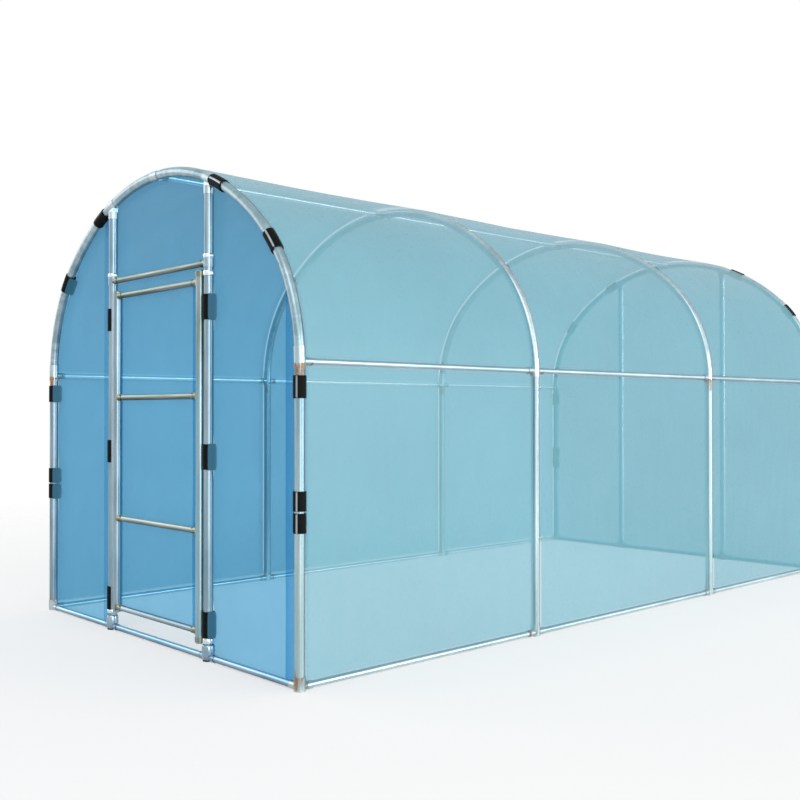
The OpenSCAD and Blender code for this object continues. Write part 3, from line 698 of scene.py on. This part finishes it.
SLIT_TURNS = (57.5, 60.5, 64.0, 67.0, 70.0, 73.5, 76.5)     # across a slit, from straight outwards


def slit_strips(name, node, y0, out):
    """Narrow strips a little below the clips' surface; out is the way to the end of the tunnel."""
    bm = bmesh.new()
    r = CLIP_R - 0.0012
    for lo, hi in islands(node):
        grid = []
        for (x, z), (nx, nz) in along_hoop(lo, hi, 16)[1:-1]:
            turns = [(r * math.cos(math.radians(a)), r * math.sin(math.radians(a))) for a in SLIT_TURNS]
            grid.append([bm.verts.new(Vector((x + nx * c, y0 + out * d, z + nz * c))) for c, d in turns])
        join_rows(bm, grid)
    obj = new_object(name, bm, STRIP)
    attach(obj, "tunnel")


slit_strips("front_clip_strips", "front_hoop_clips", FRONT_Y, -1)
slit_strips("back_clip_strips", "back_hoop_clips", BACK_Y, 1)


# ---- Door sheet, held behind the stiles, with a hem turned back at each side ----

FREE_HEM, HINGE_HEM = 0.012, 0.088
DOOR_SIDE_CALM, DOOR_END_CALM = 0.08, 0.1      # its creases die away over these widths


def hem_places(x, inward, width):
    """Places across a hem and its turn, each with how far it lies behind the sheet."""
    steps = ((width, 0.0011), (0.004, 0.0010), (0.0, 0.0005), (0.0035, 0.0))
    return [(x + inward * step, back) for step, back in steps]


def door_sheet():
    y0 = (DOOR_LO.y + DOOR_HI.y) / 2
    across, up, margin = 44, 110, 0.01
    span = HINGE_X - FREE_X - 2 * margin
    places = hem_places(FREE_X, 1, FREE_HEM)
    places += [(FREE_X + margin + span * i / across, 0.0) for i in range(across + 1)]
    places += reversed(hem_places(HINGE_X, -1, HINGE_HEM))
    rows = []
    for x, back in places:
        row = []
        for j in range(up + 1):
            z = DOOR_LO.z + (DOOR_HI.z - DOOR_LO.z) * j / up
            inner = smooth(min(x - FREE_X, HINGE_X - x) / DOOR_SIDE_CALM)
            inner *= smooth(min(z - DOOR_LO.z, DOOR_HI.z - z) / DOOR_END_CALM)
            row.append((x, y0 + back + creases(x * 1.5, 9.0, z, DOOR_CREASE) * inner, z))
        rows.append(row)
    obj = grid_object("film_door", rows, END_FILM)
    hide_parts("door_film")
    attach(obj, "door")


door_sheet()


# ---- Screws and bolts ----

SCREW_RADIUS, SCREW_HEIGHT = 0.0042, 0.0026
SMALL_RADIUS, SMALL_HEIGHT = 0.0036, 0.0022
HEAD_PROFILE = ((1.0, 0.0), (1.0, 0.35), (0.9, 0.62), (0.7, 0.83), (0.4, 0.96))
HEAD_SIDES = 16
RECESS_ARM, RECESS_HUB, RECESS_FLOOR = 0.34, 0.12, 0.7     # of a head's radius, and of its height
SLEEVE_R = MAIN_R + 0.0023     # outside radius of the sleeves on the main tubes
SOCKET_R = 0.0148              # and of the sockets on the light tubes
SCREW_IN = 0.044               # from a socket's upright to its screw
PURLIN_SCREW = 0.038           # from a post to the screws of its purlin sockets
SLEEVE_SCREW_Z, FOOT_SCREW_Z = SPRING_Z - 0.014, 0.04
ON_SLOPE = 0.7                 # of the radius, for a screw that faces forwards and up


def screw_head(bm, at, axis, radius, height):
    """A domed head with a cross recess, on a surface at a point, facing along axis."""
    turn = Vector(axis).to_track_quat("Z", "Y").to_matrix().to_4x4()
    base = Matrix.Translation(Vector(at)) @ turn

    def point(k, r, h):
        a = 2 * math.pi * k / HEAD_SIDES
        return bm.verts.new(base @ Vector((radius * r * math.cos(a), radius * r * math.sin(a), height * h)))

    rings = [[point(k, r, h) for k in range(HEAD_SIDES)] for r, h in HEAD_PROFILE]
    recess = [point(k, RECESS_ARM if k % 4 == 0 else RECESS_HUB, RECESS_FLOOR) for k in range(HEAD_SIDES)]
    for a, b in zip(rings, rings[1:] + [recess]):
        for k in range(HEAD_SIDES):
            n = (k + 1) % HEAD_SIDES
            bm.faces.new((a[k], a[n], b[n], b[k]))
    bm.faces.new(recess)
    bm.faces.new(list(reversed(rings[0])))


def screws(name, body, places):
    bm = bmesh.new()
    for at, axis, radius, height in places:
        screw_head(bm, at, axis, radius, height)
    obj = new_object(name, bm, SCREW)
    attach(obj, body)


def socket_screw(x, y, z):
    """A screw on the upper front of a socket round a light tube at a place."""
    return (x, y - SOCKET_R * ON_SLOPE, z + SOCKET_R * ON_SLOPE), (0, -1, 1), SCREW_RADIUS, SCREW_HEIGHT


side_screws = []
for side in (-1, 1):
    facing = (-side, 0, 0)
    sleeve_x, socket_x = side * (HALF_WIDTH - SLEEVE_R), side * (HALF_WIDTH - SOCKET_R)
    for y in HOOP_Y:
        for z in (SLEEVE_SCREW_Z, FOOT_SCREW_Z):
            side_screws.append(((sleeve_x, y, z), facing, SCREW_RADIUS, SCREW_HEIGHT))
        for way in (-1, 1):
            at = (socket_x, y + way * PURLIN_SCREW, SPRING_Z)
            if FRONT_Y < at[1] < BACK_Y:
                side_screws.append((at, facing, SMALL_RADIUS, SMALL_HEIGHT))
side_screws += [socket_screw(x, FRONT_Y, HEADER_Z) for x in (LEFT_X + SCREW_IN, RIGHT_X - SCREW_IN)]
screws("frame_screws", "tunnel", side_screws)

RAIL_Z = sorted(((lo + hi) / 2).z for lo, hi in islands("door_rails"))
screws("door_screws", "door", [socket_screw(x, DOOR_Y, z) for z in RAIL_Z
                               for x in (HINGE_X - SCREW_IN, FREE_X + SCREW_IN)])


# ---- Rounded beads on the rings of the hinge clamps, the header tees and over the feet ----

ROUNDNESS = 0.8        # below 1 for fuller ends than a half ellipse


def beads(name, places, material):
    """Rings with a rounded outside, each round an upright tube: place, inner radius, swell and height."""
    bm = bmesh.new()
    count, sides = 40, 12
    for x, y, z, inner, swell, height in places:
        rings = []
        for k in range(count):
            a = 2 * math.pi * k / count
            ring = []
            for i in range(sides + 1):
                b = math.pi * i / sides
                r = inner + swell * math.sin(b) ** ROUNDNESS
                up = z - height / 2 * math.cos(b)
                ring.append(bm.verts.new((x + r * math.cos(a), y + r * math.sin(a), up)))
            rings.append(ring)
        for k in range(count):
            p, q = rings[k], rings[(k + 1) % count]
            for i in range(sides):
                bm.faces.new((p[i], q[i], q[i + 1], p[i + 1]))
            bm.faces.new((p[sides], q[sides], q[0], p[0]))
    obj = new_object(name, bm, material)
    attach(obj, "tunnel")


# Inner radius, swell and height of each kind of bead
UPRIGHT_RING = (SLEEVE_R - 0.0002, 0.0022, 0.020)      # of a hinge clamp, round the upright
STILE_RING = (0.0186, 0.0016, 0.020)                   # and round the door's hinge stile
COLLAR = (MAIN_R + 0.0001, 0.0045, 0.018)
BARREL = (SLEEVE_R - 0.0004, 0.0052, 0.050)
TIP = (SLEEVE_R - 0.0004, 0.0016, 0.012)
TEE_COLLAR_Z, FOOT_COLLAR_Z, BARREL_Z, TIP_Z = HEADER_Z + 0.026, 0.083, 0.040, 0.0065
bead_places = []
for node in ("upper_hinge_clamp", "lower_hinge_clamp"):
    z = middle(node).z
    bead_places.append((RIGHT_X, FRONT_Y, z, *UPRIGHT_RING))
    bead_places.append((HINGE_X, DOOR_Y, z, *STILE_RING))
for x in (LEFT_X, RIGHT_X):
    bead_places.append((x, FRONT_Y, TEE_COLLAR_Z, *COLLAR))
    bead_places.append((x, FRONT_Y, BARREL_Z, *BARREL))
bead_places.append((LEFT_X, FRONT_Y, FOOT_COLLAR_Z, *COLLAR))
beads("frame_beads", bead_places, BEAD)
beads("foot_tips", [(x, FRONT_Y, TIP_Z, *TIP) for x in (LEFT_X, RIGHT_X)], CLIP)


# ---- Stage ----

FLOOR_RADIUS = 9.0
FLOOR_DROP = 0.0005            # keeps the floor just under the feet
FADE_FROM, FADE_TO = 2.6, 8.0  # distances from the middle between which the floor fades out


def white_material(name, ground, cover):
    """White floor that fades into the white background; cover is how solid it is under the object."""
    m, nt, sh = nodes_of(name)
    sh.inputs["Roughness"].default_value = 0.9
    sh.inputs["Specular IOR Level"].default_value = 0.1
    vec = place(nt)
    fine = noise_at(nt, vec, 3.0, 2.0)
    nt.links.new(ramp(nt, fine, [(0.0, grey(ground)), (1.0, grey(ground + 0.01))]), sh.inputs["Base Color"])
    length = nt.nodes.new("ShaderNodeVectorMath")
    length.operation = "LENGTH"
    nt.links.new(vec, length.inputs[0])
    nt.links.new(map_range(nt, length.outputs["Value"], FADE_FROM, FADE_TO, cover, 0.0), sh.inputs["Alpha"])
    return m


bm = bmesh.new()
bmesh.ops.create_circle(bm, cap_ends=True, segments=96, radius=FLOOR_RADIUS)
floor = new_object("floor", bm, white_material("floor_white", 0.96, 0.50), flat=True)
floor.location.z = -FLOOR_DROP

world = bpy.data.worlds.new("studio")
bpy.context.scene.world = world
world.use_nodes = True
wt = world.node_tree
for n in list(wt.nodes):
    wt.nodes.remove(n)


def background(strength):
    return add(wt, "ShaderNodeBackground", Color=(1.0, 1.0, 1.0, 1.0), Strength=strength).outputs[0]


# Soft light on the object; white where the camera, metal or film shows the background itself
path = wt.nodes.new("ShaderNodeLightPath")
seen = math_node(wt, "MAXIMUM", path.outputs["Is Camera Ray"],
                 math_node(wt, "MAXIMUM", path.outputs["Is Glossy Ray"], path.outputs["Is Transmission Ray"]))
out = wt.nodes.new("ShaderNodeOutputWorld")
wt.links.new(mix_shader(wt, seen, background(0.66), background(1.0)), out.inputs["Surface"])

# Name, strength, angle across in degrees and the way to each lamp
LAMPS = (
    ("right", 0.65, 70, (0.855, 0.51, 0.09)),
    ("sharp", 0.85, 16, (0.83, 0.54, 0.10)),
    ("front", 0.8, 30, (0.94, -0.33, 0.09)),
    ("left", 0.45, 34, (-0.84, -0.40, 0.37)),
    ("top", 0.7, 40, (0.52, -0.62, 0.59)),
)
for name, energy, angle, way in LAMPS:
    lamp = bpy.data.objects.new(name, bpy.data.lights.new(name, "SUN"))
    lamp.data.energy = energy
    lamp.data.angle = math.radians(angle)
    lamp.rotation_mode = "QUATERNION"
    lamp.rotation_quaternion = Vector(way).to_track_quat("Z", "Y")
    bpy.context.scene.collection.objects.link(lamp)

# Camera at the viewing angle of the reference view
LENS, SENSOR = 45.76, 36.0
EYE = Vector((3.8555, -4.1489, 0.9813))
YAW, PITCH, ROLL = math.radians(47.12), math.radians(0.596), math.radians(-0.0445)
camera = bpy.data.objects.new("camera", bpy.data.cameras.new("camera"))
camera.data.lens = LENS
camera.data.sensor_width = SENSOR
forward = Vector((-math.cos(PITCH) * math.sin(YAW), math.cos(PITCH) * math.cos(YAW), math.sin(PITCH)))
level_right = forward.cross(Vector((0, 0, 1))).normalized()
level_up = level_right.cross(forward)
right = math.cos(ROLL) * level_right + math.sin(ROLL) * level_up
upward = -math.sin(ROLL) * level_right + math.cos(ROLL) * level_up
camera.matrix_world = Matrix.Translation(EYE) @ Matrix((right, upward, -forward)).transposed().to_4x4()
bpy.context.scene.collection.objects.link(camera)
bpy.context.scene.camera = camera
bpy.context.scene.view_settings.view_transform = "Standard"

bpy.context.view_layer.update()
